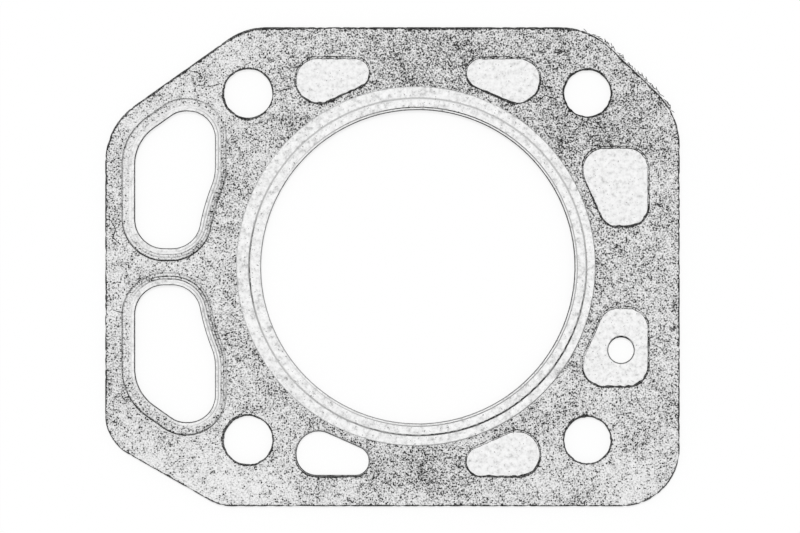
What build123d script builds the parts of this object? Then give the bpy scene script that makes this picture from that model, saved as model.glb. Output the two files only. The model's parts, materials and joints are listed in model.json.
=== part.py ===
from build123d import *
from math import cos, hypot, radians, sin, tan
import os

os.makedirs("parts", exist_ok=True)

# Cylinder head gasket of a small single-cylinder diesel engine, lengths in millimetres.
# A steel core sheet lies between two soft fibre facings. A folded steel fire ring wraps the
# sandwich round the cylinder, and two folded steel eyelets wrap it round the pushrod openings.
# Z is the cylinder's axis and points from the engine block to the head, and Z zero is the
# block's deck, on which the fire ring's lower wing lies. The pushrod side is at -X.

# Thickness of each sheet
core_thickness = 0.3
facing_thickness = 0.5
ring_sheet = 0.25
eyelet_sheet = 0.2

# Fire ring, measured outwards from the cylinder's axis, with a raised band on its upper wing
fire_opening_radius = 41.1
ring_fold_radius = 0.7
band_width = 3.1
band_rise = 0.1
step_run = 0.3
ring_wing_width = 2.9
wing_edge_shift = (-0.5, 0.17)

# Clearances round the pieces that lie inside the folds
insert_clearance = 0.05
sandwich_clearance = 0.1

# Cylinder head studs, whose lines pass a little inside the fire ring's edge
stud_line_inset_x = 2.6
stud_line_inset_y = 1.6
stud_hole_radius_pushrod = 6.4
stud_hole_radius_port = 6.1

# Outline: its front and rear sides from the studs, and its cut corners as (along X, along Y)
margin_y = 17.35
rear_pushrod_corner = (36.7, 26.0)
rear_port_corner = (23.6, 22.85)
front_pushrod_corner = (30.1, 17.2)
outline_radii = [11.5, 11.3, 15.2, 18.9, 19.4, 17.4, 18.1]

# Coolant ports: the inner side of each is square to a radius of the cylinder
port_web = 2.15
port_slant = 24.0
small_port_margin = 7.95
small_port_half_gap = 12.6
small_port_stud_land = 12.4
small_port_radii = [3.9, 3.8, 5.6, 6.1]
side_port_margin = 8.2
side_port_width = 17.3
side_port_straight = 7.34
side_port_half_gap = 10.6
side_port_stud_land = 14.1
side_port_radii = [4.7, 5.5, 5.6, 5.6, 6.6]

# The core reaches a little into the one port that is open through all the layers
core_port_lip = 0.3

# Metering hole through the core inside the front side port
metering_hole_radius = 3.35
metering_side_land = 7.2
metering_stud_land = 23.6

# Pushrod openings, whose inner side is concentric with the cylinder
opening_edge_margin = 7.85
opening_width = 20.95
opening_half_gap = 4.85
opening_web = 11.1
opening_stud_offset = (8.7, 4.75)
opening_radii = [7.7, 7.4, 13.0, 7.1, 6.7, 11.8]
eyelet_fold_radius = 0.7
eyelet_wing_width = 3.4

# Largest part of a straight side that the roundings at its two ends may take up together
rounded_share = 0.98

# Heights of the layers
facing_base = ring_sheet
core_base = facing_base + facing_thickness
core_top = core_base + core_thickness
facing_top = core_top + facing_thickness
ring_wing_top = facing_top + ring_sheet
band_top = ring_wing_top + band_rise
mid_plane = Plane.XY.offset((core_base + core_top) / 2)

# Each fold is drawn with a flat that touches the middle of its arc and runs this share of the
# fold's radius each way
fold_flat = 2 - 2**0.5

# Radii about the cylinder's axis
step_radius = fire_opening_radius + band_width
wing_edge_radius = step_radius + ring_wing_width
sandwich_radius = step_radius + step_run / 2 + sandwich_clearance
port_line_radius = wing_edge_radius + port_web
opening_arc_radius = wing_edge_radius + opening_web

# Stud lines
stud_x = wing_edge_radius - stud_line_inset_x
stud_y = wing_edge_radius - stud_line_inset_y


def fitted(corners, radii):
    """Radii for the corners, less where the roundings at the two ends of a side don't fit on it."""
    count = len(corners)
    points = [Vector(*corner) for corner in corners]
    sides = [points[(i + 1) % count] - points[i] for i in range(count)]
    turns = [radians(sides[i - 1].get_angle(sides[i])) for i in range(count)]
    reach = [radius * tan(turn / 2) for radius, turn in zip(radii, turns)]
    shares = [
        min(1, rounded_share * side.length / (reach[i] + reach[(i + 1) % count]))
        for i, side in enumerate(sides)
    ]
    return [radius * min(shares[i - 1], shares[i]) for i, radius in enumerate(radii)]


def rounded_outline(corners, radii):
    """Closed line of straight sides with a rounding at each corner."""
    return FilletPolyline(*corners, radius=fitted(corners, radii), close=True)


def slanted_side(along):
    """Distance from the axis, across the port, of the slanted side at a place along the port."""
    slant = radians(port_slant)
    return (port_line_radius - along * sin(slant)) / cos(slant)


# Stud holes, die cut through the whole sandwich
with BuildSketch() as stud_holes:
    with Locations((-stud_x, -stud_y), (-stud_x, stud_y)):
        Circle(stud_hole_radius_pushrod)
    with Locations((stud_x, -stud_y), (stud_x, stud_y)):
        Circle(stud_hole_radius_port)

# Small coolant port at the rear on the port side: the other three are its mirror images
side_y = stud_y + margin_y
small_port_far_x = stud_x - small_port_stud_land
small_port_y = side_y - small_port_margin
small_port_corners = [
    (small_port_half_gap, slanted_side(small_port_half_gap)),
    (small_port_half_gap, small_port_y),
    (small_port_far_x, small_port_y),
    (small_port_far_x, slanted_side(small_port_far_x)),
]
with BuildSketch() as small_port:
    with BuildLine():
        rounded_outline(small_port_corners, small_port_radii)
    make_face()

# Side coolant port at the rear: the front one is its mirror image
side_port_far_y = stud_y - side_port_stud_land
slanted_side_end = side_port_far_y - side_port_straight
side_port_inner_x = slanted_side(slanted_side_end)
side_port_outer_x = side_port_inner_x + side_port_width
side_port_corners = [
    (slanted_side(side_port_half_gap), side_port_half_gap),
    (side_port_outer_x, side_port_half_gap),
    (side_port_outer_x, side_port_far_y),
    (side_port_inner_x, side_port_far_y),
    (side_port_inner_x, slanted_side_end),
]
with BuildSketch() as side_port:
    with BuildLine():
        rounded_outline(side_port_corners, side_port_radii)
    make_face()

# Windows that the six ports make in each facing
with BuildSketch() as facing_windows:
    add(small_port.sketch)
    mirror(small_port.sketch, about=Plane.YZ)
    add(side_port.sketch)
    mirror(about=Plane.XZ)

# The front port on the pushrod side is the only one that is open through the core
with BuildSketch() as open_port:
    add(small_port.sketch.rotate(Axis.Z, 180))
    offset(amount=-core_port_lip)

# Outline of the gasket, anticlockwise from the front end of the pushrod side
opening_inner_x = -stud_x - opening_stud_offset[0]
opening_outer_x = opening_inner_x - opening_width
pushrod_side_x = opening_outer_x - opening_edge_margin
port_side_x = side_port_outer_x + side_port_margin
outline_corners = [
    (pushrod_side_x, front_pushrod_corner[1] - side_y),
    (pushrod_side_x + front_pushrod_corner[0], -side_y),
    (port_side_x, -side_y),
    (port_side_x, side_y - rear_port_corner[1]),
    (port_side_x - rear_port_corner[0], side_y),
    (pushrod_side_x + rear_pushrod_corner[0], side_y),
    (pushrod_side_x, side_y - rear_pushrod_corner[1]),
]
with BuildSketch() as gasket_outline:
    with BuildLine():
        rounded_outline(outline_corners, outline_radii)
    make_face()

# Rear pushrod opening, with a side parallel to the outline's cut corner
corner_run, corner_drop = rear_pushrod_corner
corner_length = hypot(corner_run, corner_drop)
opening_far_y = stud_y - opening_stud_offset[1]
parallel_x = pushrod_side_x + opening_edge_margin * corner_drop / corner_length
parallel_y = side_y - corner_drop - opening_edge_margin * corner_run / corner_length
corner_slope = corner_drop / corner_run
arc_end_x = -((opening_arc_radius**2 - opening_half_gap**2) ** 0.5)
arc_end_y = (opening_arc_radius**2 - opening_inner_x**2) ** 0.5
opening_corners = [
    (opening_outer_x, opening_half_gap),
    (arc_end_x, opening_half_gap),
    (opening_inner_x, arc_end_y),
    (opening_inner_x, opening_far_y),
    (parallel_x + (opening_far_y - parallel_y) / corner_slope, opening_far_y),
    (opening_outer_x, parallel_y + (opening_outer_x - parallel_x) * corner_slope),
]
# Straight-sided frame of the opening, with a bare corner where the tangents at the arc's ends meet
arc_start = Vector(*opening_corners[1])
arc_end = Vector(*opening_corners[2])
tangents_meet = (arc_start + arc_end) * (1 / (1 + arc_start.dot(arc_end) / opening_arc_radius**2))
frame_corners = opening_corners[:2] + [(tangents_meet.X, tangents_meet.Y)] + opening_corners[2:]
frame_radii = opening_radii[:2] + [0] + opening_radii[2:]
with BuildSketch() as rear_opening:
    with BuildLine():
        Polyline(opening_corners[2:] + opening_corners[:2])
        RadiusArc(opening_corners[1], opening_corners[2], opening_arc_radius)
    make_face()
    for corner, radius in zip(frame_corners, fitted(frame_corners, frame_radii)):
        if radius > 0:
            fillet(rear_opening.vertices().sort_by_distance(corner)[0], radius)

# Both openings, and the larger holes that the sandwich has inside the folds of the eyelets
with BuildSketch() as sandwich_openings:
    add(rear_opening.sketch)
    offset(amount=eyelet_fold_radius)
    mirror(about=Plane.XZ)

# Blank of the sandwich's three sheets, without the coolant ports
with BuildSketch() as sandwich_blank:
    add(gasket_outline.sketch)
    Circle(sandwich_radius, mode=Mode.SUBTRACT)
    add(stud_holes.sketch, mode=Mode.SUBTRACT)
    add(sandwich_openings.sketch, mode=Mode.SUBTRACT)


# Core: thin steel sheet, blind at five of the six ports
with BuildPart() as steel_core:
    with BuildSketch(Plane.XY.offset(core_base)):
        add(sandwich_blank.sketch)
        add(open_port.sketch, mode=Mode.SUBTRACT)
        with Locations((side_port_outer_x - metering_side_land, metering_stud_land - stud_y)):
            Circle(metering_hole_radius, mode=Mode.SUBTRACT)
    extrude(amount=core_thickness)

# Facings: soft composite sheets, die cut with all six ports
with BuildPart() as upper_facing:
    with BuildSketch(Plane.XY.offset(core_top)):
        add(sandwich_blank.sketch)
        add(facing_windows.sketch, mode=Mode.SUBTRACT)
    extrude(amount=facing_thickness)

with BuildPart() as lower_facing:
    mirror(upper_facing.part, about=mid_plane)


# Fire ring: one strip of sheet folded to a U round the cylinder, with its wings on the facings
wing_reach = wing_edge_radius + hypot(*wing_edge_shift)
step_start = step_radius - step_run / 2
step_end = step_radius + step_run / 2
ring_flat = ring_fold_radius * fold_flat
with BuildPart() as fire_ring:
    with BuildSketch(Plane.XZ) as ring_section:
        with BuildLine():
            Polyline(
                (wing_reach, ring_wing_top),
                (step_end, ring_wing_top),
                (step_start, band_top),
                (fire_opening_radius + ring_flat, band_top),
                (fire_opening_radius, band_top - ring_flat),
                (fire_opening_radius, ring_flat),
                (fire_opening_radius + ring_flat, 0),
                (wing_reach, 0),
            )
            offset(amount=ring_sheet, side=Side.LEFT, kind=Kind.INTERSECTION)
        make_face()
    revolve(axis=Axis.Z)
    with BuildSketch():
        with Locations(wing_edge_shift):
            Circle(wing_edge_radius)
    extrude(amount=band_top, mode=Mode.INTERSECT)

# Flat steel ring inside the fold, which holds the band up and carries the clamping force
with BuildPart() as fire_ring_insert:
    with BuildSketch(Plane.XY.offset(ring_sheet)):
        Circle(step_start - insert_clearance)
        Circle(fire_opening_radius + ring_fold_radius, mode=Mode.SUBTRACT)
    extrude(amount=band_top - 2 * ring_sheet)


# Eyelets: the same U fold, drawn round the free outline of a pushrod opening
sandwich_thickness = facing_top - facing_base
eyelet_flat = eyelet_fold_radius * fold_flat
with BuildSketch(Plane.XY.offset(facing_base - eyelet_sheet)) as eyelet_outline:
    offset(rear_opening.sketch, amount=eyelet_wing_width, mode=Mode.ADD)
    add(rear_opening.sketch, mode=Mode.SUBTRACT)
# The inside of the fold is square, and set in so that the sheet is full thickness behind the flats
eyelet_fold_depth = eyelet_flat + (2**0.5 - 1) * eyelet_sheet
with BuildSketch(Plane.XY.offset(facing_base)) as eyelet_hollow:
    offset(rear_opening.sketch, amount=eyelet_wing_width + eyelet_sheet, mode=Mode.ADD)
    offset(rear_opening.sketch, amount=eyelet_fold_depth, mode=Mode.SUBTRACT)
with BuildPart() as rear_pushrod_eyelet:
    add(eyelet_outline.sketch)
    extrude(amount=sandwich_thickness + 2 * eyelet_sheet)
    flat_faces = rear_pushrod_eyelet.faces().sort_by(Axis.Z)
    for face in (flat_faces[0], flat_faces[-1]):
        chamfer(face.inner_wires()[0].edges(), eyelet_flat)
    add(eyelet_hollow.sketch)
    extrude(amount=sandwich_thickness, mode=Mode.SUBTRACT)

with BuildPart() as front_pushrod_eyelet:
    mirror(rear_pushrod_eyelet.part, about=Plane.XZ)


for piece, name in (
    (steel_core, "steel_core"),
    (upper_facing, "upper_facing"),
    (lower_facing, "lower_facing"),
    (fire_ring, "fire_ring"),
    (fire_ring_insert, "fire_ring_insert"),
    (rear_pushrod_eyelet, "rear_pushrod_eyelet"),
    (front_pushrod_eyelet, "front_pushrod_eyelet"),
):
    piece.part.label = name
    export_step(piece.part, f"parts/{name}.step")
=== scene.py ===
# %% [markdown]
# # A cylinder head gasket, seen from straight above
#
# The real object is a sandwich: a thin steel core between two soft composite facings, with a folded steel
# ring round the cylinder and a folded steel eyelet round each pushrod opening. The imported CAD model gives
# the place and size of every piece, so this lesson loads it first and never moves it. What is made here is
# what CAD leaves plain: the true round folds, the rolled edges that a die leaves, and the finishes.

# %% The frame
import json
import math

import bmesh
import bpy
import numpy as np
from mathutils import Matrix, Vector, kdtree
from mathutils.geometry import delaunay_2d_cdt


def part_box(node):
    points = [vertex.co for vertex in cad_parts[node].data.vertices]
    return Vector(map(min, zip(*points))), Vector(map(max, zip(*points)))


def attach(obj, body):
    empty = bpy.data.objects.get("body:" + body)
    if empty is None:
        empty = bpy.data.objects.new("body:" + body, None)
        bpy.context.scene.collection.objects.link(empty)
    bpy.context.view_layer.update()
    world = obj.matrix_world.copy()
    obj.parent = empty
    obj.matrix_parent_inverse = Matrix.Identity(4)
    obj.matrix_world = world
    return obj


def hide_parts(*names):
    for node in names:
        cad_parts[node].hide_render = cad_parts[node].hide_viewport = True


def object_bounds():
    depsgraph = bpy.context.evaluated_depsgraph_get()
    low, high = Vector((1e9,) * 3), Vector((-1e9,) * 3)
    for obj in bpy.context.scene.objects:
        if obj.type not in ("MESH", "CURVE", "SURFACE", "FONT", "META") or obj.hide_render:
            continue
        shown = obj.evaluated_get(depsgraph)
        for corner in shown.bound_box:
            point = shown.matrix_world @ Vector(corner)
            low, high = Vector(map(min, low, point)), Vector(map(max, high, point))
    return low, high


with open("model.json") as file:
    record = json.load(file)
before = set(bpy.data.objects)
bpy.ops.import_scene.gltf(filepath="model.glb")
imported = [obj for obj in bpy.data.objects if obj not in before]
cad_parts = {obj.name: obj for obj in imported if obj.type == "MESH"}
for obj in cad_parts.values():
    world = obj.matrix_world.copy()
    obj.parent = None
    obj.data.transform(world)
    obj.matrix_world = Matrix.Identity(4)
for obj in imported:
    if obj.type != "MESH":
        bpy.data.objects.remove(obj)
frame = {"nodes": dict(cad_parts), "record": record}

cad_box = [list(corner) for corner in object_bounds()]
scene = bpy.context.scene
MM = 0.001
print("CAD box in mm", [[round(v / MM, 2) for v in corner] for corner in cad_box])

# %% [markdown]
# ## Helpers
#
# A colour is easiest to judge as the hex code that a picture shows, but shaders work with linear light, so
# one function turns the code to linear numbers. Another adds a node with its settings and its inputs. An
# input is a plain value, an earlier node, which stands for its first output, or one of its other outputs.
# The stops of a colour ramp are given as places along it with the hex code that each has.

# %% Helpers


def linear(code):
    """Linear colour of an sRGB hex code such as "#C0C0C0"."""
    parts = [int(code[i : i + 2], 16) / 255 for i in (1, 3, 5)]
    light = [p / 12.92 if p <= 0.04045 else ((p + 0.055) / 1.055) ** 2.4 for p in parts]
    return (*light, 1.0)


def add(tree, kind, inputs=None, stops=None, **settings):
    """A new node with its settings, and each input set to a value or linked to a node or socket."""
    made = tree.nodes.new(kind)
    for name, value in settings.items():
        setattr(made, name, value)
    for i, (place, code) in enumerate((stops or {}).items()):
        spots = made.color_ramp.elements
        spot = spots[i] if i < len(spots) else spots.new(1.0)
        spot.position, spot.color = place, linear(code)
    for key, value in (inputs or {}).items():
        if isinstance(value, bpy.types.Node):
            value = value.outputs[0]
        if isinstance(value, bpy.types.NodeSocket):
            tree.links.new(value, made.inputs[key])
        else:
            made.inputs[key].default_value = value
    return made


def new_material(name):
    """Empty node material and its tree."""
    made = bpy.data.materials.new(name)
    made.use_nodes = True
    made.node_tree.nodes.clear()
    return made, made.node_tree


def new_object(name, data):
    """Object with this data, in the scene."""
    made = bpy.data.objects.new(name, data)
    scene.collection.objects.link(made)
    return made


# %% [markdown]
# ## Camera
#
# The camera looks straight down, as at a part on a table. A long lens keeps the upper and
# lower edges of the sheet over each other. The frame's middle is a little to the pushrod side of the
# cylinder's axis, because the gasket reaches further on that side.

# %% Camera
frame_width = 209.6 * MM
frame_middle = Vector((-4.67, 0.07, 0)) * MM
sensor_width = 36.0
lens = 120.0

camera_data = bpy.data.cameras.new("camera")
camera_data.sensor_width = sensor_width
camera_data.lens = lens
camera = new_object("camera", camera_data)
scene.camera = camera
camera.location = frame_middle + Vector((0, 0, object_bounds()[1].z + frame_width * lens / sensor_width))
print("camera height in mm", round(camera.location.z / MM, 1))

# %% [markdown]
# ## Light
#
# A sheet two millimetres thick shows its layers by thin shadow lines. A sun lamp from the rear draws them
# along the rear edges of the windows, and an even world fills the rest. Together they light a level surface
# at strength one, so that each colour renders about as it is written. Camera, glossy and transmission rays
# see a white world, so the steel reflects white. The sun's own mirror image is left out of the steel, where
# it would burn out the pale metal.

# %% World and sun
scene.view_settings.view_transform = "Standard"
fill_light = 0.6
sun_tilt = math.radians(24)
sun_turn = math.radians(8)
sun_width = math.radians(12)

world = bpy.data.worlds.new("white_room")
scene.world = world
world.use_nodes = True
tree = world.node_tree
tree.nodes.clear()
rays = add(tree, "ShaderNodeLightPath").outputs
seen = rays["Is Camera Ray"]
for kind in ("Is Glossy Ray", "Is Transmission Ray"):
    seen = add(tree, "ShaderNodeMath", {0: seen, 1: rays[kind]}, operation="MAXIMUM")
strength = add(tree, "ShaderNodeMapRange", {"Value": seen, "To Min": fill_light, "To Max": 1.0})
sky = add(tree, "ShaderNodeBackground", {"Color": (1, 1, 1, 1), "Strength": strength})
add(tree, "ShaderNodeOutputWorld", {"Surface": sky})

sun_data = bpy.data.lights.new("sun", "SUN")
sun_data.energy = math.pi * (1 - fill_light) / math.cos(sun_tilt)
sun_data.angle = sun_width
sun = new_object("sun", sun_data)
sun.rotation_euler = (-sun_tilt, 0, sun_turn)
sun.visible_glossy = False
print("sun strength", round(sun_data.energy, 2))

# %% [markdown]
# ## Floor
#
# The floor is a large white sheet just under the part. Most of what the camera sees of it is plain white,
# and the rest a white paint that takes the part's shadow, which is as faint as on a bright table.

# %% Floor
floor_half = 1.5
floor_gap = 0.02 * MM
shadow_share = 0.22

floor_mesh = bpy.data.meshes.new("floor")
floor_z = cad_box[0][2] - floor_gap
floor_corners = [(x * floor_half, y * floor_half, floor_z) for x, y in ((-1, -1), (1, -1), (1, 1), (-1, 1))]
floor_mesh.from_pydata(floor_corners, [], [(0, 1, 2, 3)])
floor = new_object("floor", floor_mesh)
floor_paint, tree = new_material("white_table_top")
table_paint = add(tree, "ShaderNodeBsdfDiffuse", {"Color": (1, 1, 1, 1)})
table_glow = add(tree, "ShaderNodeEmission", {"Color": (1, 1, 1, 1), "Strength": 1.0})
camera_ray = add(tree, "ShaderNodeLightPath").outputs["Is Camera Ray"]
glow_share = add(tree, "ShaderNodeMath", {0: camera_ray, 1: 1 - shadow_share}, operation="MULTIPLY")
table_mix = add(tree, "ShaderNodeMixShader", {0: glow_share, 1: table_paint, 2: table_glow})
add(tree, "ShaderNodeOutputMaterial", {"Surface": table_mix})
floor.data.materials.append(floor_paint)
print("floor", round(2 * floor_half, 1), "m wide")

# %% [markdown]
# ## Composite facing
#
# The facing is a calendered sheet of fibre and graphite in a rubber binder. Its face is matt and pale grey,
# peppered with dark graphite specks and pale fibre ends. The real grains are about a quarter of a millimetre
# across, one pixel of the picture, so the noise that makes the ground is drawn coarser, as wide as it has to
# be to show. A Voronoi pattern puts single specks on it: each cell has its own random numbers, which decide
# whether it holds a speck and how dark that is. Noises of a few millimetres gather the specks in clumps and
# clouds, and more cells hold one where handling has rubbed the sheet. Where the die tore it, the binder is
# gone and the graphite turns it nearly black, first where the grains are dark, so that the torn part's
# border is frayed. The sheet's vertices carry both as attributes.
# The same marks also paint shade: dark at the foot of each cut wall, and a faint band round the fire ring.

# %% Facing material
GRAIN = 0.41 * MM
SPECK_CELL = 0.5 * MM
CLUMP = 1.9 * MM
CLOUD = 9 * MM
noise_shares = ((CLOUD, 0.36), (CLUMP, 0.5), (GRAIN, 1.8))
darker_greys = {0.0: "#1A1A1A", 0.18: "#404040", 0.33: "#7C7C7C", 0.46: "#B4B4B4"}
facing_greys = {**darker_greys, 0.6: "#D2D2D2", 0.78: "#E6E6E6", 1.0: "#F4F4F4"}
torn_and_shade_greys = {0.0: "#101010", 0.5: "#303030", 0.8: "#5A5A5A", 1.0: "#8C8C8C"}


def graphite_grains(tree, paleness):
    """Value from 0, darkest, to 1, palest, of the facing's grains, which lie about a mean paleness."""
    place = add(tree, "ShaderNodeTexCoord").outputs["Object"]
    total = paleness
    for size, share in noise_shares:
        clumped = total
        noise = add(tree, "ShaderNodeTexNoise", {"Vector": place, "Scale": 1 / size, "Detail": 1.5})
        about = {"Value": noise, "To Min": -0.5 * share, "To Max": 0.5 * share}
        about = add(tree, "ShaderNodeMapRange", about)
        total = add(tree, "ShaderNodeMath", {0: total, 1: about}, operation="ADD")
    # the sum without the finest noise says what share of the cells holds a speck
    crowd = {"Value": clumped, "From Min": 0.35, "From Max": 0.85, "To Min": 1.0, "To Max": 0.06}
    crowd = add(tree, "ShaderNodeMapRange", crowd)
    cells = add(tree, "ShaderNodeTexVoronoi", {"Vector": place, "Scale": 1 / SPECK_CELL})
    dice = add(tree, "ShaderNodeSeparateColor", {0: cells.outputs["Color"]})
    holds = add(tree, "ShaderNodeMath", {0: dice.outputs[0], 1: crowd}, operation="LESS_THAN")
    depth = add(tree, "ShaderNodeMath", {0: dice.outputs[1], 1: 0.55, 2: 0.2}, operation="MULTIPLY_ADD")
    weight = add(tree, "ShaderNodeMath", {0: holds, 1: depth}, operation="MULTIPLY")
    speck = {"Value": cells.outputs["Distance"], "From Min": 0.54, "From Max": 0.28, "To Max": weight}
    speck = add(tree, "ShaderNodeMapRange", speck)
    return add(tree, "ShaderNodeMath", {0: total, 1: speck}, operation="SUBTRACT")


facing_paint, tree = new_material("calendered_graphite_fibre_sheet")
graphite = add(tree, "ShaderNodeAttribute", attribute_name="graphite").outputs["Fac"]
paleness = add(tree, "ShaderNodeMapRange", {"Value": graphite, "To Min": 0.79, "To Max": 0.44})
grains = graphite_grains(tree, paleness)
face = add(tree, "ShaderNodeValToRGB", {"Fac": grains}, facing_greys)
# dark where the die bared the graphite, and painted shade at the foot and sides of the cut walls
dark_edge = add(tree, "ShaderNodeValToRGB", {"Fac": grains}, torn_and_shade_greys)
torn = add(tree, "ShaderNodeAttribute", attribute_name="torn").outputs["Fac"]
fringe = add(tree, "ShaderNodeMath", {0: grains, 1: -0.5, 2: torn}, operation="MULTIPLY_ADD")
dark_here = add(tree, "ShaderNodeMapRange", {"Value": fringe, "From Min": 0.0, "From Max": 0.3})
shown = add(tree, "ShaderNodeMix", {0: dark_here, 6: face, 7: dark_edge}, data_type="RGBA").outputs[2]
relief = add(tree, "ShaderNodeBump", {"Strength": 0.6, "Distance": 0.03 * MM, "Height": grains})
skin = {"Base Color": shown, "Roughness": 0.88, "Specular IOR Level": 0.3, "Normal": relief}
add(tree, "ShaderNodeOutputMaterial", {0: add(tree, "ShaderNodeBsdfPrincipled", skin)})
print(facing_paint.name, "has", len(tree.nodes), "nodes")

# %% [markdown]
# ## Loose fibre
#
# A fibre that stands off the sheet has lost its binder. Its root was clean inside the sheet and is pale,
# while the rest is coated with graphite, dark and matt. An attribute says how far along a point is.

# %% Fibre material
fibre_paint, tree = new_material("graphite_coated_fibre")
place = add(tree, "ShaderNodeTexCoord").outputs["Object"]
coat = add(tree, "ShaderNodeTexNoise", {"Vector": place, "Scale": 1 / GRAIN, "Detail": 1.0})
dark = add(tree, "ShaderNodeValToRGB", {"Fac": coat}, {0.3: "#101010", 0.7: "#484848"})
along = add(tree, "ShaderNodeAttribute", attribute_name="along").outputs["Fac"]
coated = add(tree, "ShaderNodeMapRange", {"Value": along, "From Min": 0.3, "From Max": 0.4})
shown = add(tree, "ShaderNodeMix", {0: coated, 6: linear("#F0F0F0"), 7: dark}, data_type="RGBA").outputs[2]
skin = {"Base Color": shown, "Roughness": 0.8, "Specular IOR Level": 0.3}
add(tree, "ShaderNodeOutputMaterial", {0: add(tree, "ShaderNodeBsdfPrincipled", skin)})
print(fibre_paint.name, "has", len(tree.nodes), "nodes")

# %% [markdown]
# ## Bright steel
#
# All the steel is thin cold-rolled strip. It is a metal, so its colour is that of its reflection, and its
# brightness is broken by shallow pits from the rolls and by grains and dust from the facing. Real pits are
# about a tenth of a millimetre across, and are drawn coarser so that they show. Thin dark lines follow the
# creases and edges: on the ring and the eyelets they are painted shade, since metal that reflects an even
# white shows none there by itself, and on the core a line of dirt along the cut. Attributes carry the
# distance from the opening and from the wing's edge, and a line is drawn where it has a certain value, with
# some noise so that the line wanders.

# %% Steel materials
MOTTLE = 1.2 * MM
PIT = 0.55 * MM


def bright_steel(name, greys, lines=(), smeared=False, dust=None):
    """Cold-rolled steel. lines are (distance attribute, where, half width, strength attribute or number).
    smeared lays the facing's grains on it, past a distance from the opening that an attribute gives. dust is
    the place in mm of a small patch of dust."""
    made, tree = new_material(name)
    place = add(tree, "ShaderNodeTexCoord").outputs["Object"]
    mottling = {"Vector": place, "Scale": 1 / MOTTLE, "Detail": 3.0, "Roughness": 0.65}
    mottle = add(tree, "ShaderNodeTexNoise", mottling)
    wander = add(tree, "ShaderNodeMapRange", {"Value": mottle, "To Min": -1.0, "To Max": 1.0})
    pits = add(tree, "ShaderNodeTexNoise", {"Vector": place, "Scale": 1 / PIT, "Detail": 1.0})
    pitted = {"Value": pits, "From Min": 0.24, "From Max": 0.32, "To Min": 0.75, "To Max": 0.0}
    layers = [(add(tree, "ShaderNodeMapRange", pitted), linear("#707070"))]
    if smeared:
        opening, start, paleness = (
            add(tree, "ShaderNodeAttribute", attribute_name=key).outputs["Fac"]
            for key in ("from_opening", "smear_start", "paleness")
        )
        wavy = add(tree, "ShaderNodeMath", {0: wander, 1: 0.3, 2: opening}, operation="MULTIPLY_ADD")
        past = add(tree, "ShaderNodeMath", {0: wavy, 1: start}, operation="SUBTRACT")
        smear = add(tree, "ShaderNodeMapRange", {"Value": past, "From Min": -0.25, "From Max": 0.35})
        grains = {"Fac": graphite_grains(tree, paleness)}
        layers.append((smear, add(tree, "ShaderNodeValToRGB", grains, facing_greys)))
    breaks = {"Value": mottle, "From Min": 0.35, "From Max": 0.6, "To Min": 0.65, "To Max": 1.25}
    broken = add(tree, "ShaderNodeMapRange", breaks)
    # each line is painted shade on the ring and the eyelets, and dirt along the cut on the core
    for attribute, where, half, strength in lines:
        distance = add(tree, "ShaderNodeAttribute", attribute_name=attribute).outputs["Fac"]
        moved = {0: wander, 1: 0.6 * half, 2: distance}
        moved = add(tree, "ShaderNodeMath", moved, operation="MULTIPLY_ADD")
        off = add(tree, "ShaderNodeMath", {0: moved, 1: where}, operation="SUBTRACT")
        away = add(tree, "ShaderNodeMath", {0: off}, operation="ABSOLUTE")
        if isinstance(strength, str):
            strength = add(tree, "ShaderNodeAttribute", attribute_name=strength).outputs["Fac"]
        darkest = add(tree, "ShaderNodeMath", {0: strength, 1: broken}, operation="MULTIPLY")
        dark_line = {"Value": away, "From Min": half, "From Max": 0.35 * half, "To Max": darkest}
        layers.append((add(tree, "ShaderNodeMapRange", dark_line), linear("#242424")))
    if dust:
        patch = {0: place, 1: Vector(dust) * MM}
        away = add(tree, "ShaderNodeVectorMath", patch, operation="DISTANCE").outputs["Value"]
        thin = {"Value": away, "From Min": 2.0 * MM, "From Max": 0.4 * MM, "To Max": 0.75}
        loose = {"Value": pits, "From Min": 0.4, "From Max": 0.6, "To Min": 0.2, "To Max": 1.2}
        both = {i: add(tree, "ShaderNodeMapRange", given) for i, given in enumerate((thin, loose))}
        layers.append((add(tree, "ShaderNodeMath", both, operation="MULTIPLY"), linear("#808080")))
    shown = add(tree, "ShaderNodeValToRGB", {"Fac": mottle}, greys).outputs[0]
    for share, colour in layers:
        mix = {0: share, 6: shown, 7: colour}
        shown = add(tree, "ShaderNodeMix", mix, data_type="RGBA").outputs[2]
    relief = add(tree, "ShaderNodeBump", {"Strength": 0.25, "Distance": 0.01 * MM, "Height": mottle})
    metal = {"Base Color": shown, "Metallic": 0.85, "Roughness": 0.42, "Normal": relief}
    add(tree, "ShaderNodeOutputMaterial", {0: add(tree, "ShaderNodeBsdfPrincipled", metal)})
    print(name, "has", len(tree.nodes), "nodes")
    return made


strip_greys = {0.25: "#AEAEAE", 0.4: "#DEDEDE", 0.5: "#EFEFEF", 0.65: "#FBFBFB"}
core_greys = {0.25: "#C0C0C0", 0.4: "#E6E6E6", 0.5: "#F2F2F2", 0.65: "#FAFAFA"}
core_steel = bright_steel("cold_rolled_core_steel", core_greys, (("from_cut", 0.08, 0.28, 0.95),))
# the ring's dark lines are painted shade along the bore's edge, the fold, the step and the wing's edge
ring_lines = (
    ("from_opening", 0.08, 0.21, "rim_grime"),
    ("from_opening", 0.7, 0.2, "fold_grime"),
    ("from_opening", 3.1, 0.34, "step_grime"),
    ("from_edge", 0.0, 0.3, "edge_grime"),
)
dust_patch = (37.2, -28.1, 1.8)
ring_steel = bright_steel("tinned_ring_steel", strip_greys, ring_lines, dust=dust_patch)
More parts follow.
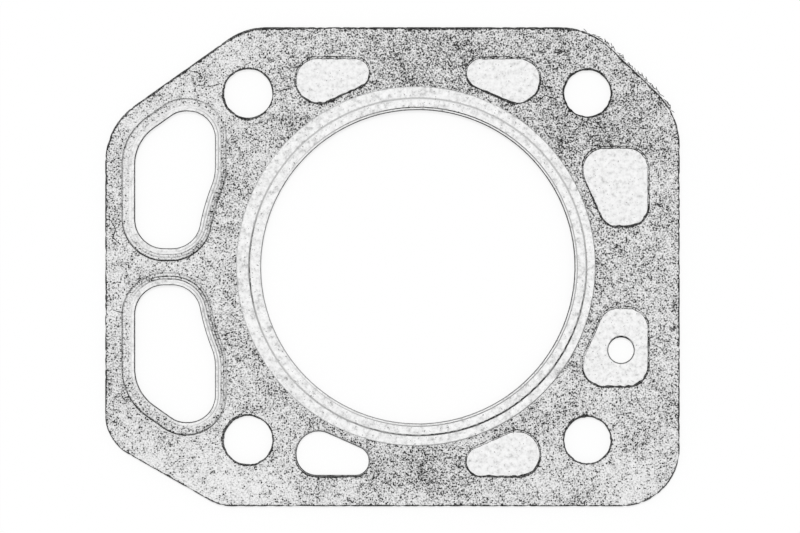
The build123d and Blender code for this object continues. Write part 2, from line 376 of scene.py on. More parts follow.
# the eyelets' dark lines are painted shade along the opening's edge, the bend, two wrinkles and the wing's
# edge
eyelet_lines = (
    ("from_opening", 0.1, 0.21, 1.0),
    ("from_opening", 0.95, 0.22, "bend_grime"),
    ("from_opening", 1.65, 0.2, "wrinkle_grime"),
    ("from_opening", 2.35, 0.24, "wrinkle_grime"),
    ("from_edge", 0.0, 0.56, "edge_grime"),
)
eyelet_steel = bright_steel("tinned_eyelet_steel", strip_greys, eyelet_lines, smeared=True)
insert_steel = bright_steel("plain_insert_steel", {0.2: "#9A9A9A", 0.8: "#B8B8B8"})

# %% [markdown]
# ## Outlines from the frame
#
# The CAD nodes already hold every outline. A copy of a node's mesh is merged, and the border of one of its
# flat faces is walked to get closed loops. Seen from above, the material is always on the left of the walk,
# so one rule finds "into the sheet" everywhere.

# %% Walking a border
merge_gap = 0.001
level_gap = 0.005


def borders(node, height):
    """Closed borders of a node's level face at this height in mm, as arrays of XY points in mm."""
    mesh = bmesh.new()
    mesh.from_mesh(frame["nodes"][node].data)
    bmesh.ops.remove_doubles(mesh, verts=mesh.verts, dist=merge_gap * MM)
    # a dict keeps the faces in order, unlike a set, so each run walks the same way
    level = dict.fromkeys(
        face
        for face in mesh.faces
        if abs(face.normal.z) > 0.99 and all(abs(v.co.z / MM - height) < level_gap for v in face.verts)
    )
    follows = {}
    for face in level:
        for corner in face.loops:
            if all(other is face or other not in level for other in corner.edge.link_faces):
                pair = (corner.vert, corner.link_loop_next.vert)
                start, end = pair if face.normal.z > 0 else pair[::-1]
                follows[start] = end
    found = []
    while follows:
        start, here = follows.popitem()
        loop = [start]
        while here is not start:
            loop.append(here)
            here = follows.pop(here)
        found.append(np.array([(v.co.x / MM, v.co.y / MM) for v in loop]))
    mesh.free()
    return found


def spaced(loop, step):
    """The closed loop again with points about one step apart."""
    closed = np.vstack([loop, loop[:1]])
    run = np.r_[0, np.cumsum(np.hypot(*np.diff(closed, axis=0).T))]
    at = np.linspace(0, run[-1], max(12, round(run[-1] / step)), endpoint=False)
    return np.column_stack([np.interp(at, run, closed[:, i]) for i in (0, 1)])


def left_of(along):
    """Unit vectors to the left of these directions."""
    left = np.column_stack([-along[:, 1], along[:, 0]])
    return left / np.hypot(*left.T)[:, None]


def inward(loop):
    """Unit vectors at the loop's points into the material, which is on its left."""
    return left_of(np.roll(loop, -1, axis=0) - np.roll(loop, 1, axis=0))


def turned_to(vectors, way):
    """How far each vector points a way, and 0 where it points away from it."""
    return np.clip(vectors @ way, 0, 1)


def top_of(node):
    """Height of a node's highest face in mm."""
    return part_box(node)[1].z / MM


def bottom_of(node):
    """Height of a node's lowest face in mm."""
    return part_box(node)[0].z / MM


facing_top = top_of("upper_facing")
facing_borders = borders("upper_facing", facing_top)
core_borders = borders("steel_core", top_of("steel_core"))
print("borders of the facing", len(facing_borders), "and of the core", len(core_borders))

# %% [markdown]
# ## Filling a sheet
#
# The face between the borders is filled with a Delaunay triangulation, which takes the borders as fixed
# edges. Points strewn between them give the face enough vertices to carry worn zones and scratches. A
# triangle belongs to the sheet if its middle is inside an odd number of borders.

# %% Filling between borders
strewn_step = 1.3
strewn_shake = 0.35


def inside(points, loops):
    """Which of the points are inside an odd number of loops."""
    odd = np.zeros(len(points), bool)
    for loop in loops:
        for (x0, y0), (x1, y1) in zip(loop, np.roll(loop, -1, axis=0)):
            if y0 != y1:
                crosses = (points[:, 1] >= min(y0, y1)) & (points[:, 1] < max(y0, y1))
                odd ^= crosses & (points[:, 0] < x0 + (points[:, 1] - y0) * (x1 - x0) / (y1 - y0))
    return odd


def distances(points, others):
    """Distance from each of the points to the nearest of the others."""
    near = kdtree.KDTree(len(others))
    for i, (x, y) in enumerate(others):
        near.insert((x, y, 0), i)
    near.balance()
    return np.array([near.find((*p, 0))[2] for p in points])


def strewn_points(loops, chance):
    """Points about a strewn_step apart between the loops, and not close to them."""
    rims = np.vstack(loops)
    columns = [np.arange(*ends, strewn_step) for ends in zip(rims.min(axis=0), rims.max(axis=0))]
    grid = np.stack(np.meshgrid(*columns), -1).reshape(-1, 2)
    grid = grid + chance.uniform(-strewn_shake, strewn_shake, grid.shape) * strewn_step
    grid = grid[inside(grid, loops)]
    return grid[distances(grid, rims) > 0.5 * strewn_step]


def filled(loops, strewn):
    """Triangles between the loops through the strewn points, as indices into both, one after the other."""
    points = np.vstack([*loops, strewn])
    fixed, first = [], 0
    for loop in loops:
        fixed += [(first + i, first + (i + 1) % len(loop)) for i in range(len(loop))]
        first += len(loop)
    made = delaunay_2d_cdt([Vector(p) for p in points.tolist()], fixed, [], 0, 1e-7)
    source = [origin[0] for origin in made[3]]
    triangles = np.array([[source[i] for i in face] for face in made[2]])
    return triangles[inside(points[triangles].mean(axis=1), loops)]


# %% [markdown]
# ## A die-cut edge
#
# A die doesn't leave a square edge. It draws the face down into a small roll and then tears the rest, and
# the torn composite is darker, because its graphite is bared there. So each border gets rows of points,
# from the face over the roll and down the wall. At the windows the torn wall slopes out on to the steel.
# The foot of each wall, and the sides of a window's sloping wall, are painted dark as shade.
#
# A push is a direction and a boldness in one: the tear is wider on the sides that face along it, and a long
# push tears all of the edge. Lumps stand into a hole, while the sheet's outer edge has notches, and there
# the steel is wiped clean. All rows wander a little, as such an edge does.

# %% Rows along a border
edge_step = 0.32
outer_push = (0.36, -0.88)
window_push = (0.1, -0.92)
port_push = (-0.1, -0.36)
stud_pushes = {(-1, 1): (-0.1, -0.8), (1, 1): (-0.7, 0.4), (-1, -1): (-0.8, 0.2), (1, -1): (-0.3, 0.75)}
stud_width = 13.0
hole_lump, outer_notch = 0.2, 0.22
wiped_clean = 0.3


def ragged(count, wavelength, chance):
    """Closed run of random values from -1 to 1 that change over about one wavelength in mm."""
    knots = max(4, round(count * edge_step / wavelength))
    values = chance.uniform(-1, 1, knots)
    at = np.linspace(0, knots, count, endpoint=False)
    low = at.astype(int)
    blend = (1 - np.cos((at - low) * math.pi)) / 2
    return values[low] * (1 - blend) + values[(low + 1) % knots] * blend


def turns_left(loop):
    """Area inside the loop, which is negative round a hole, because a hole's border is walked clockwise."""
    (x, y), (next_x, next_y) = loop.T, np.roll(loop, -1, axis=0).T
    return float(np.sum(x * next_y - next_x * y) / 2)


def torn_rows(loop, slope, push, chance):
    """Rows (reach into the sheet, share of the thickness, how torn) of a facing's edge, from the face down.
    The last number is also painted shade at the foot of the wall and on the sides of a window's wall.
    slope is how far the wall slopes out, and push which way and how boldly the die tore."""
    level = np.zeros(len(loop))
    bold = np.hypot(*push)
    way = inward(loop) @ push
    tear = np.clip(way, 0, 1)
    sway = 0.5 * ragged(len(loop), 0.9, chance) + 0.5 * ragged(len(loop), 3.0, chance)
    lumps = ragged(len(loop), 1.1, chance)
    gaps = np.clip(0.8 + 0.4 * ragged(len(loop), 1.4, chance), 0.4, 1)
    if slope:
        least, depth = 0.07, 0.3 * tear
        wall_reach = slope * (0.5 + 0.5 * np.clip(-way, 0, 1))
        foot = -wall_reach * (0.9 + 0.2 * lumps) - 0.16 * lumps * tear
        # the sides of a window's sloping wall are painted darker, as shade
        wall = 0.05 + 0.9 * tear + 0.4 * (1 - np.abs(way))
        dark_edge = 1.3 * np.maximum(tear, gaps)
    else:
        least, depth = 0.14, 0.3 * bold + 0.5 * tear
        foot = (-hole_lump if turns_left(loop) < 0 else outer_notch) * bold * np.clip(lumps, 0, 1)
        side = tear / max(bold, 0.01)
        all_round = np.clip(2 * bold - 0.6, 0, 1)
        wall = 0.95 * np.maximum(side, all_round)
        dark_edge = np.maximum(side, gaps * all_round)
    crest = np.maximum(least + 0.13 * bold + 0.3 * depth + (0.1 + 0.24 * depth) * sway, 0.06)
    return [
        (crest + 0.7, 0.0, level),
        (crest + 0.13 + 0.2 * depth, 0.0, 0.3 * depth),
        (crest, 0.06, dark_edge),
        (0.55 * crest + 0.35 * foot, 0.3, wall),
        (0.3 * crest + 0.62 * foot, 0.55, wall),
        # the foot of the wall is painted dark, as shade
        (foot, 0.85, 1.1 * gaps),
        (foot, 1.0, level + 1.1),
    ]


def sheared_rows(loop, slope, push, chance):
    """The same for a steel sheet, which rolls over far less, and whose last number is the distance from the
    cut in mm. It is given too small on the sides that face along push, so that dirt reaches further there."""
    level = np.zeros(len(loop))
    burr = 0.02 + 0.01 * ragged(len(loop), 1.5, chance)
    near = 1 - 0.6 * turned_to(inward(loop), push) ** 2
    clean = wiped_clean if turns_left(loop) > 0 else 0.0
    return [
        (burr + 0.5, 0.0, (burr + 0.5) * near + clean),
        (burr + 0.1, 0.0, (burr + 0.1) * near + clean),
        (burr, 0.08, burr + clean),
        (level, 0.25, level + clean),
        (level, 1.0, level + clean),
    ]


# %% [markdown]
# ## Sheets with such edges
#
# A sheet is closed: the rows make the wall, and two fillings make the faces. Vertex attributes carry what
# the finish has to know: how torn the sheet is, with painted shade at the foot of its walls, how dark
# handling has rubbed it, with a faint band of painted shade round the fire ring, and how far a point of the
# steel is from the cut. A scratch is a row of points in the filling that is pressed in a little.

# %% Building a sheet
score_depth = 0.02
scratch_room = 0.4
rubbed_base = 0.45
# a faint band of painted shade on the facing just outside the fire ring, on its upper right side
shade_band_radius, shade_band_width, shade_band_share = 47.5, 2.0, 0.12
# x, y, half width and half depth in mm, and how much darker the zone is
rubbed_zones = [
    (-66, 0, 18, 26, -0.15),
    (-58, -54, 22, 14, -0.4),
    (56, -57, 14, 10, -0.25),
    (0, 57, 30, 12, 0.3),
    (-52, 51, 13, 9, -0.2),
    (0, -52, 17, 6, 0.32),
    (42, 41, 20, 14, 0.36),
    (50, 0, 8, 16, 0.08),
    (-36, 36, 9, 9, 0.2),
    (-70, 40, 14, 10, -0.15),
]


def rubbed_and_shaded(x, y):
    """How dark handling has rubbed the facing here, from 0 to 1, with a faint band of painted shade
    round the fire ring.
    """
    dark = rubbed_base
    for zone_x, zone_y, wide, deep, change in rubbed_zones:
        dark += change * math.exp(-(((x - zone_x) / wide) ** 2) - ((y - zone_y) / deep) ** 2)
    # the band of painted shade beside the fire ring
    reach = math.hypot(x, y)
    bell = math.exp(-(((reach - shade_band_radius) / shade_band_width) ** 2))
    dark += shade_band_share * bell * max(0.0, (x + y) / reach - 0.3)
    return min(1.0, max(0.0, dark))


def cut_sheet(name, loops, rows_of, noted, top, foot, scratches, seed, paint):
    """Closed sheet. rows_of gives the rows of a border with its slope and push. noted is the name of the
    attribute that takes their last numbers, and its value on the plain faces."""
    chance = np.random.default_rng(seed)
    face_up = 1 if top > foot else -1
    points, faces, marks = [], [], []
    ends = {0: [], -1: []}
    for loop, slope, push in loops:
        loop = spaced(loop, edge_step)
        ranks = []
        for reach, share, mark in rows_of(loop, slope, push, chance):
            ranks.append(range(len(points), len(points) + len(loop)))
            points += [(x, y, top + (foot - top) * share) for x, y in loop + inward(loop) * reach[:, None]]
            marks += mark.tolist()
        for upper, lower in zip(ranks, ranks[1:]):
            for i in range(len(loop)):
                j = (i + 1) % len(loop)
                faces.append((upper[i], lower[i], lower[j], upper[j])[::face_up])
        for end in ends:
            ends[end].append(ranks[end])
    for end, turn in ((0, face_up), (-1, -face_up)):
        index = [i for ring in ends[end] for i in ring]
        borders_here = [np.array(points)[list(ring), :2] for ring in ends[end]]
        strewn = strewn_points(borders_here, chance)
        depth = np.zeros(len(strewn))
        if end == 0 and len(scratches):
            strewn = strewn[distances(strewn, scratches[:, :2]) > scratch_room]
            depth = np.r_[np.zeros(len(strewn)), scratches[:, 2]]
            strewn = np.vstack([strewn, scratches[:, :2]])
        for triangle in filled(borders_here, strewn):
            ids = [index[k] if k < len(index) else len(points) + k - len(index) for k in triangle]
            faces.append(ids[::turn])
        level = (top, foot)[end]
        points += [(x, y, level - face_up * score_depth * d) for (x, y), d in zip(strewn, depth)]
        marks += (depth + noted[1]).tolist()
    mesh = bpy.data.meshes.new(name)
    mesh.from_pydata([(x * MM, y * MM, z * MM) for x, y, z in points], [], faces)
    mesh.polygons.foreach_set("use_smooth", [True] * len(faces))
    for key, values in ((noted[0], marks), ("graphite", [rubbed_and_shaded(x, y) for x, y, _ in points])):
        mesh.attributes.new(key, "FLOAT", "POINT").data.foreach_set("value", values)
    mesh.materials.append(paint)
    print(name, "has", len(mesh.polygons), "faces")
    return new_object(name, mesh)


# %% [markdown]
# ## The three sheets
#
# A border of the facing that has no border of the core under it belongs to a window, whose torn wall
# slopes out on to the steel. Where the core stands a little into an opening, the facing is hardly torn. Each
# stud hole had a punch of its own, so it is torn on a side of its own. Dirt has gathered along the rear of
# the metering hole. The lower facing is the same sheet the other way up, without scratches.

# %% The facings and the core
window_slope = 0.52
window_gap = 2.0
flush_gap = 0.2
sheet_width = 140.0
small_hole = 7.8
scratch_half, scratch_step = 0.2, 0.25


def scored(lines):
    """Rows (x, y, depth) of points along scratches, given as (depth, corners), and level ones beside them."""
    rows = []
    for depth, corners in lines:
        corners = np.array(corners)
        run = np.r_[0, np.cumsum(np.hypot(*np.diff(corners, axis=0).T))]
        at = np.arange(0, run[-1], scratch_step)
        line = np.column_stack([np.interp(at, run, corners[:, i]) for i in (0, 1)])
        beside = left_of(np.gradient(line, axis=0))
        fade = depth * (1 - 0.4 * np.abs(2 * at / run[-1] - 1))
        for shift in (-scratch_half, 0.0, scratch_half):
            rows.append(np.column_stack([line + beside * shift, fade if shift == 0 else 0 * fade]))
    return np.vstack(rows)


core_points = np.vstack([spaced(loop, edge_step) for loop in core_borders])
facing_loops = []
for loop in facing_borders:
    gap = distances(loop, core_points).mean()
    middle, wide = loop.mean(axis=0), np.ptp(loop, axis=0).max()
    slope, push = 0.0, (0.0, 0.0)
    if gap > window_gap:
        slope, push = window_slope, window_push
    elif gap > flush_gap:
        push = port_push
    elif wide < stud_width:
        push = stud_pushes[tuple(np.sign(middle))]
    elif wide > sheet_width:
        push = outer_push
    facing_loops.append((loop, slope, push))
    print("facing border at", middle.round(), "is", round(gap, 2), "mm from the core's")
core_loops = []
for loop in core_borders:
    dirty = 1.0 if np.ptp(loop[:, 0]) < small_hole else 0.0
    core_loops.append((loop, 0.0, (0.0, dirty)))
scratch_lines = [
    (1.7, [(-51.8, 48.0), (-53.5, 47.4), (-55.3, 47.3), (-57.7, 47.6)]),
    (1.5, [(-57.2, 48.4), (-56.4, 49.6), (-57.8, 51.0), (-60.3, 51.4)]),
    (1.5, [(-50.2, 50.6), (-48.4, 49.4), (-49.2, 51.9)]),
    (1.9, [(36.5, 55.5), (37.1, 56.4), (37.8, 56.8)]),
    (1.9, [(-79.9, -11.3), (-78.2, -11.9), (-76.7, -11.9)]),
    (1.7, [(-38.2, 46.4), (-36.0, 46.1), (-33.4, 46.9), (-30.9, 46.8)]),
    (1.7, [(31.7, 46.5), (33.4, 47.3), (35.2, 47.1)]),
    (1.5, [(28.9, 43.4), (31.0, 43.0), (33.3, 44.9), (36.0, 44.1)]),
    (1.7, [(-80.4, 12.0), (-79.2, 9.9), (-79.9, 7.6), (-78.1, 5.9)]),
    (1.9, [(-51.3, -26.0), (-50.4, -26.9), (-49.2, -27.6)]),
]
scratches = scored(scratch_lines)
sheets = {}
for node, loops, rows_of, noted, face_up, marks, seed, paint in (
    ("upper_facing", facing_loops, torn_rows, ("torn", 0.0), 1, scratches, 11, facing_paint),
    ("lower_facing", facing_loops, torn_rows, ("torn", 0.0), -1, scratches[:0], 12, facing_paint),
    ("steel_core", core_loops, sheared_rows, ("from_cut", 9.0), 1, scratches[:0], 13, core_steel),
):
    heights = (top_of(node), bottom_of(node))[::face_up]
    sheets[node] = cut_sheet(node + "_sheet", loops, rows_of, noted, *heights, marks, seed, paint)

# %% [markdown]
# ## Folding sheet steel round an edge
#
# The fire ring and the eyelets are the same thing: a strip of thin steel folded over the edge of an
# opening, so that one wing lies on each face of the gasket. Such a piece follows a rule, so Geometry Nodes
# make it. The modifier sits on the cross-section, a closed line with square corners. The tree gives the
# sheet its thickness, rounds the fold, and sweeps the result along the rim of the opening.

# %% The folding tree


def new_tree(name, result, wanted):
    """Empty geometry tree with these inputs and one result, and the sockets of its inputs."""
    tree = bpy.data.node_groups.new(name, "GeometryNodeTree")
    for key, kind in wanted.items():
        tree.interface.new_socket(key, in_out="INPUT", socket_type="NodeSocket" + kind)
    tree.interface.new_socket(result, in_out="OUTPUT", socket_type="NodeSocketGeometry")
    return tree, add(tree, "NodeGroupInput").outputs


def folding_tree():
    """Geometry nodes that fold a strip's cross-section round the rim of an opening."""
    wanted = {
        "Section": "Geometry",
        "Rim": "Object",
        **dict.fromkeys(("Fold Radius", "Sheet Thickness", "Wing Width"), "Float"),
        "Steel": "Material",
    }
    tree, given = new_tree("strip_folded_round_rim", "Folded Strip", wanted)
    noted = {
        name: add(tree, "GeometryNodeInputNamedAttribute", {"Name": name}, data_type=kind)
        for name, kind in {
            **dict.fromkeys(("lift", "out", "rim_place"), "FLOAT_VECTOR"),
            **dict.fromkeys(("inner", "fold", "wing", "widen", "reach", "height"), "FLOAT"),
        }.items()
    }
    place = add(tree, "GeometryNodeInputPosition")

    # the sheet's inner side is moved in by its thickness, and its fold has the smaller radius
    thick = given["Sheet Thickness"]
    lift = add(tree, "ShaderNodeVectorMath", {0: noted["lift"], "Scale": thick}, operation="SCALE")
    lifted = add(tree, "GeometryNodeSetPosition", {"Geometry": given["Section"], "Offset": lift})
    section = add(tree, "GeometryNodeMeshToCurve", {"Mesh": lifted})
    thinner = add(tree, "ShaderNodeMath", {0: noted["inner"], 1: thick}, operation="MULTIPLY")
    fold_here = add(tree, "ShaderNodeMath", {0: given["Fold Radius"], 1: thinner}, operation="SUBTRACT")
    radius = add(tree, "ShaderNodeMath", {0: noted["fold"], 1: fold_here}, operation="MULTIPLY")
    rounding = {"Curve": section, "Count": 7, "Radius": radius, "Limit Radius": True}
    drawn = add(tree, "GeometryNodeFilletCurve", rounding, mode="POLY")
    drawn_at = add(tree, "ShaderNodeSeparateXYZ", {0: place})
    for name, axis in (("reach", "X"), ("height", "Y")):
        kept = {"Geometry": drawn, "Name": name, "Value": drawn_at.outputs[axis]}
        drawn = add(tree, "GeometryNodeStoreNamedAttribute", kept)

    # the section is swept along the rim, and each point placed by the rim's own outward direction
    rim = add(tree, "GeometryNodeObjectInfo", {"Object": given["Rim"]}, transform_space="ORIGINAL")
    rim_line = add(tree, "GeometryNodeMeshToCurve", {"Mesh": rim.outputs["Geometry"]})
    kept = {"Geometry": rim_line, "Name": "rim_place", "Value": place}
    rim_kept = add(tree, "GeometryNodeStoreNamedAttribute", kept, data_type="FLOAT_VECTOR")
    swept = add(tree, "GeometryNodeCurveToMesh", {"Curve": rim_kept, "Profile Curve": drawn})
    wider = add(tree, "ShaderNodeMath", {0: noted["wing"], 1: noted["widen"]}, operation="MULTIPLY")
    reach = add(tree, "ShaderNodeMath", {0: noted["reach"], 1: wider}, operation="ADD")
    outwards = add(tree, "ShaderNodeVectorMath", {0: noted["out"], "Scale": reach}, operation="SCALE")
    upwards = add(tree, "ShaderNodeCombineXYZ", {"Z": noted["height"]})
    beside = add(tree, "ShaderNodeVectorMath", {0: noted["rim_place"], 1: outwards}, operation="ADD")
    final = add(tree, "ShaderNodeVectorMath", {0: beside, 1: upwards}, operation="ADD")
    placed = add(tree, "GeometryNodeSetPosition", {"Geometry": swept, "Position": final})

    # distances in mm from the opening and the wing's edge, for the finish
    edge_reach = add(tree, "ShaderNodeMath", {0: given["Wing Width"], 1: noted["widen"]}, operation="ADD")
    from_edge = add(tree, "ShaderNodeMath", {0: edge_reach, 1: reach}, operation="SUBTRACT")
    for name, value in (("from_opening", reach), ("from_edge", from_edge)):
        in_mm = add(tree, "ShaderNodeMath", {0: value, 1: MM}, operation="DIVIDE")
        kept = {"Geometry": placed, "Name": name, "Value": in_mm}
        placed = add(tree, "GeometryNodeStoreNamedAttribute", kept)
    smooth = add(tree, "GeometryNodeSetShadeSmooth", {"Geometry": placed, "Shade Smooth": True})
    real = add(tree, "GeometryNodeRealizeInstances", {"Geometry": smooth})
    painted = add(tree, "GeometryNodeSetMaterial", {"Geometry": real, "Material": given["Steel"]})
    add(tree, "NodeGroupOutput", {0: painted})
    return tree


folding = folding_tree()
print("folding tree has", len(folding.nodes), "nodes")

# %% [markdown]
# ## Running the tree
#
# Both inputs are small meshes of bare edges. The cross-section's corners say which way the sheet's inner
# side lies, which of them are folds, and which follow the wing's edge. The rim's points say which way is
# out, and how much wider the wing is. The result is baked to a plain mesh and the modifier removed.

# %% From section and rim to a piece
fold_radius = 0.7
cut_corner = 0.07
sharp_edge = math.radians(40)


def strip_corners(wing, top, foot, wing_top, steps=()):
    """A section's corners as (reach, height, lift x, lift y, fold, wing), in mm from the opening. steps are
    the places (reach, height) where the upper side steps down to the wing."""
    return [
        (wing - cut_corner, wing_top, 0, 0, 0, 1),
        *((*step, 0, 0, 0, 0) for step in steps[::-1]),
        (0, top, 0, 0, 1, 0),
        (0, foot, 0, 0, 1, 0),
        (wing - cut_corner, foot, 0, 0, 0, 1),
        (wing, foot + cut_corner, 0, 0, 0, 1),
        (wing, foot, 0, 1, 0, 1),
        (0, foot, 1, 1, 1, 0),
        (0, top, 1, -1, 1, 0),
        *((*step, 0, -1, 0, 0) for step in steps),
        (wing, wing_top, 0, -1, 0, 1),
        (wing, wing_top - cut_corner, 0, 0, 0, 1),
    ]


def edge_line(name, points, height, closed=True, **attributes):
    """Object of bare edges along points in mm at one height, with a float or vector attribute per keyword."""
    mesh = bpy.data.meshes.new(name)
    count = len(points)
    edges = [(i, (i + 1) % count) for i in range(count if closed else count - 1)]
    mesh.from_pydata([(x * MM, y * MM, height * MM) for x, y in points], edges, [])
    for key, values in attributes.items():
        values = np.asarray(values, float)
        kind, field = ("FLOAT_VECTOR", "vector") if values.ndim == 2 else ("FLOAT", "value")
        mesh.attributes.new(key, kind, "POINT").data.foreach_set(field, values.ravel())
    return new_object(name, mesh)


def baked(piece, tree, values):
    """Runs the tree on the piece with these values, and gives it the plain mesh that comes out."""
    modifier = piece.modifiers.new(tree.name, "NODES")
    modifier.node_group = tree
    for socket in tree.interface.items_tree:
        if socket.name in values:
            modifier[socket.identifier] = values[socket.name]
    seen = piece.evaluated_get(bpy.context.evaluated_depsgraph_get())
    mesh = bpy.data.meshes.new_from_object(seen)
    mesh.name = piece.name
    piece.modifiers.remove(modifier)
    piece.data = mesh
    return mesh


def folded_strip(name, corners, rim, out, widen, shade_and_smear, sheet, wing, steel):
    """Strip with a section of these corners, folded round the rim, whose points have an outward direction."""
    reach, height, lift_x, lift_y, fold, wing_end = np.array(corners, float).T
    section = edge_line(
        name,
        np.column_stack([reach, height]),
        0,
        lift=np.column_stack([lift_x, lift_y, 0 * lift_x]),
        inner=np.abs(lift_x) + np.abs(lift_y) > 0,
        fold=fold,
        wing=wing_end,
    )
    out = np.column_stack([out, np.zeros(len(rim))])
    rim_object = edge_line(name + "_rim", rim, 0, out=out, widen=widen * MM, **shade_and_smear)
    values = {
        "Rim": rim_object,
        "Fold Radius": fold_radius * MM,
        "Sheet Thickness": sheet * MM,
        "Wing Width": wing * MM,
        "Steel": steel,
    }
    mesh = baked(section, folding, values)
    bpy.data.objects.remove(rim_object)
    tidy = bmesh.new()
    tidy.from_mesh(mesh)
    if tidy.calc_volume(signed=True) < 0:
        bmesh.ops.reverse_faces(tidy, faces=tidy.faces)
    for edge in tidy.edges:
        edge.smooth = edge.calc_face_angle(math.pi) < sharp_edge
    print(name, "has", len(tidy.faces), "faces and", round(tidy.calc_volume() / MM**3), "mm3 of steel")
    tidy.to_mesh(mesh)
    tidy.free()
    return section


# %% [markdown]
# ## The fire ring
#
# The fire ring seals the combustion gas. Beside its fold a hidden insert raises the upper face as far as a
# step, beyond which the wing lies flat on the facing. The blank was punched a little off-centre, so the
# wing is about a millimetre wider on the left.

# %% Fire ring
bore_radius = next(m["dims"]["r_mm"] for m in frame["record"]["mounts"] if m["name"] == "combustion_bore")
low, high = (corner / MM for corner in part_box("fire_ring"))
ring_shift = np.array([(low.x + high.x) / 2, (low.y + high.y) / 2])
ring_edge_radius = (high.x - low.x) / 2
ring_top, ring_bottom = high.z, low.z
ring_sheet = bottom_of("lower_facing") - ring_bottom
ring_wing_top = facing_top + ring_sheet
ring_wing = ring_edge_radius - bore_radius
step_start, step_end = 2.95, 3.25
ring_steps = ((step_start, ring_top), (step_end, ring_wing_top))
ring_corners = strip_corners(ring_wing, ring_top, ring_bottom, ring_wing_top, ring_steps)
ring_points = 420
turns = np.linspace(0, 2 * math.pi, ring_points, endpoint=False)
round_out = np.column_stack([np.cos(turns), np.sin(turns)])
along_shift = round_out @ ring_shift
edge_reach = along_shift + np.sqrt(ring_edge_radius**2 - ring_shift @ ring_shift + along_shift**2)
ring_widen = edge_reach - ring_edge_radius
left, rear, front = (turned_to(round_out, way) for way in ((-1, 0), (0, 1), (0, -1)))
# how strong each painted shade line is at each point round the ring
ring_shade = {
    "rim_grime": 0.85 + 0.25 * round_out @ np.array([0.64, 0.77]),
    "step_grime": 0.38 + 0.7 * turned_to(round_out, (0.545, -0.839)) ** 2 + 0.42 * left**20,
    "edge_grime": 0.32 + 0.45 * turned_to(round_out, (0.9, -0.43)),
    "fold_grime": np.clip(0.5 + 0.55 * rear**3 + 0.15 * front - 0.6 * left, 0, 1),
}
ring = ("fire_ring_strip", ring_corners, round_out * bore_radius, round_out, ring_widen, ring_shade)
strips = {"fire_ring": folded_strip(*ring, ring_sheet, ring_wing, ring_steel)}

# %% [markdown]
# ## The eyelets
#
# Each eyelet follows the outline of its opening, which the CAD node gives: the inner border of its upper
# wing is as far from the opening's edge as the fold's flat. The wing is a little wider on the side of the
# gasket's cut corner, and a little narrower towards the cylinder.

# %% Eyelets
fold_flat = fold_radius * (2 - math.sqrt(2))
eyelet_wider = 0.12
eyelet_narrower = 0.3
rim_step = 0.45


def eyelet(node, side):
    """Folded strip on the outline of a CAD node. side is 1 at the rear and -1 at the front."""
    top, foot = top_of(node), bottom_of(node)
    loops = sorted(borders(node, top), key=lambda loop: np.ptp(loop[:, 0]))
    inner = spaced(loops[0], rim_step)
    rim = inner - inward(inner) * fold_flat
    wing = (np.ptp(loops[1][:, 0]) - np.ptp(rim[:, 0])) / 2
    sheet = top - facing_top
    corners = strip_corners(wing, top, foot, top)
    out = inward(rim)
    towards_cylinder = turned_to(out, (1, 0))
    widen = eyelet_wider * turned_to(out, (-0.8, 0.6 * side)) - eyelet_narrower * towards_cylinder
    print(node, "wing", round(wing, 2), "sheet", round(sheet, 2))
    front_share = (1 - side) / 2
    outer_side = turned_to(out, (-0.8, 0.6) if side > 0 else (-1, 0))
    inner_end = turned_to(out, (0.4, -0.92 * side))
    cut_side = turned_to(out, (-0.7, -0.7))
    # strengths of the painted shade lines, and where and how pale the facing's grains smear the wing
    shade_and_smear = {
        "edge_grime": 0.35 + (0.8 + 0.2 * side) * turned_to(out, (0, -1)) + 0.4 * outer_side,
        "bend_grime": 0.1 + 0.35 * towards_cylinder,
        "wrinkle_grime": 0.08 + (0.4 + 0.4 * front_share) * inner_end,
        "smear_start": 1.5 - 1.2 * front_share * cut_side**3,
        "paleness": 0.7 - 0.08 * out[:, 0] - 0.08 * front_share * cut_side,
    }
    name = node.replace("pushrod_eyelet", "eyelet_strip")
    return folded_strip(name, corners, rim, out, widen, shade_and_smear, sheet, wing, eyelet_steel)


for node, side in (("rear_pushrod_eyelet", 1), ("front_pushrod_eyelet", -1)):
    strips[node] = eyelet(node, side)
insert = frame["nodes"]["fire_ring_insert"]
insert.data.materials.clear()
insert.data.materials.append(insert_steel)

# %% [markdown]
# ## Frayed fibres
#
# Along the cut corner on the port side the die was blunt, and ends of fibre stand off the upper facing's
# edge. Geometry Nodes place them: short rods are put along the stretch, each turned at random from the
# outward direction and given a random length. Each rod starts inside the sheet, so none floats.

# %% Fibres along the frayed edge
blunt_from, blunt_to, blunt_above = 44.5, 66.8, 40.9
fray_depth, root_depth = 0.16, 0.12


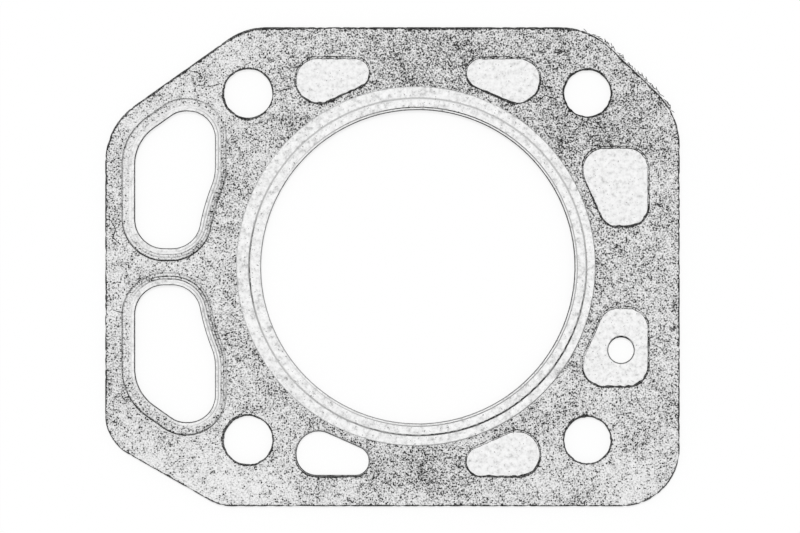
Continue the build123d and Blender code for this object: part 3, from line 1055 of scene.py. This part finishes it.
def fray_tree():
    """Geometry nodes that put short fibres along bare edges, which carry the outward angle."""
    numbers = ("Spacing", "Shortest", "Longest", "Fibre Radius", "Least Lean", "Most Lean")
    wanted = {"Edge": "Geometry", **dict.fromkeys(numbers, "Float"), "Fibre": "Material"}
    tree, given = new_tree("fibres_along_edge", "Fibres", wanted)
    line = add(tree, "GeometryNodeMeshToCurve", {"Mesh": given["Edge"]})
    roots = add(tree, "GeometryNodeResampleCurve", {"Curve": line, "Length": given["Spacing"]}, mode="LENGTH")
    slim = {"Vertices": 5, "Side Segments": 6, "Radius": 1.0, "Depth": 1.0}
    rod = add(tree, "GeometryNodeMeshCylinder", slim)
    laid = {"Geometry": rod, "Translation": (0.5, 0, 0), "Rotation": (0, math.pi / 2, 0)}
    fibre = add(tree, "GeometryNodeTransform", laid)
    how_far = add(tree, "ShaderNodeSeparateXYZ", {0: add(tree, "GeometryNodeInputPosition")})
    kept = {"Geometry": fibre, "Name": "along", "Value": how_far}
    fibre = add(tree, "GeometryNodeStoreNamedAttribute", kept)
    outwards = add(tree, "GeometryNodeInputNamedAttribute", {"Name": "out_angle"}, data_type="FLOAT")
    lean = {2: given["Least Lean"], 3: given["Most Lean"], "Seed": 5}
    leaning = add(tree, "FunctionNodeRandomValue", lean, data_type="FLOAT")
    side = add(tree, "FunctionNodeRandomValue", {2: -1.0, 3: 1.0, "Seed": 7}, data_type="FLOAT")
    either = add(tree, "ShaderNodeMath", {0: side.outputs[1]}, operation="SIGN")
    turn = {0: leaning.outputs[1], 1: either, 2: outwards}
    turn = add(tree, "ShaderNodeMath", turn, operation="MULTIPLY_ADD")
    turned = add(tree, "ShaderNodeCombineXYZ", {"Z": turn})
    long = {2: given["Shortest"], 3: given["Longest"], "Seed": 6}
    length = add(tree, "FunctionNodeRandomValue", long, data_type="FLOAT")
    thick = given["Fibre Radius"]
    size = add(tree, "ShaderNodeCombineXYZ", {"X": length.outputs[1], "Y": thick, "Z": thick})
    placed = {"Points": roots, "Instance": fibre, "Rotation": turned, "Scale": size}
    fibres = add(tree, "GeometryNodeInstanceOnPoints", placed)
    real = add(tree, "GeometryNodeRealizeInstances", {"Geometry": fibres})
    painted = add(tree, "GeometryNodeSetMaterial", {"Geometry": real, "Material": given["Fibre"]})
    add(tree, "NodeGroupOutput", {0: painted})
    return tree


fraying = fray_tree()
outline = spaced(max(facing_borders, key=lambda loop: np.ptp(loop[:, 0])), edge_step)
x, y = outline.T
blunt = (x > blunt_from) & (x < blunt_to) & (y > blunt_above)
order = np.argsort(x[blunt])
out_x, out_y = -inward(outline)[blunt][order].T
out_angle = np.arctan2(out_y, out_x)
roots = outline[blunt][order] - root_depth * np.column_stack([np.cos(out_angle), np.sin(out_angle)])
fray_height = facing_top - fray_depth
fray = edge_line("frayed_fibres", roots, fray_height, closed=False, out_angle=out_angle)
fray_values = {
    "Spacing": 0.5 * MM,
    "Shortest": 0.7 * MM,
    "Longest": 2.2 * MM,
    "Fibre Radius": 0.085 * MM,
    "Least Lean": 1.0,
    "Most Lean": 1.35,
    "Fibre": fibre_paint,
}
baked(fray, fraying, fray_values)
print("frayed fibres", len(fray.data.polygons), "faces")

# %% [markdown]
# ## Handing the pieces to the frame
#
# Each piece takes the place of one CAD node, which is hidden, and rides on the only body.

# %% Rides and replaced nodes
for node, piece in [*sheets.items(), *strips.items(), ("upper_facing", fray)]:
    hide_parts(node)
    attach(piece, "root")
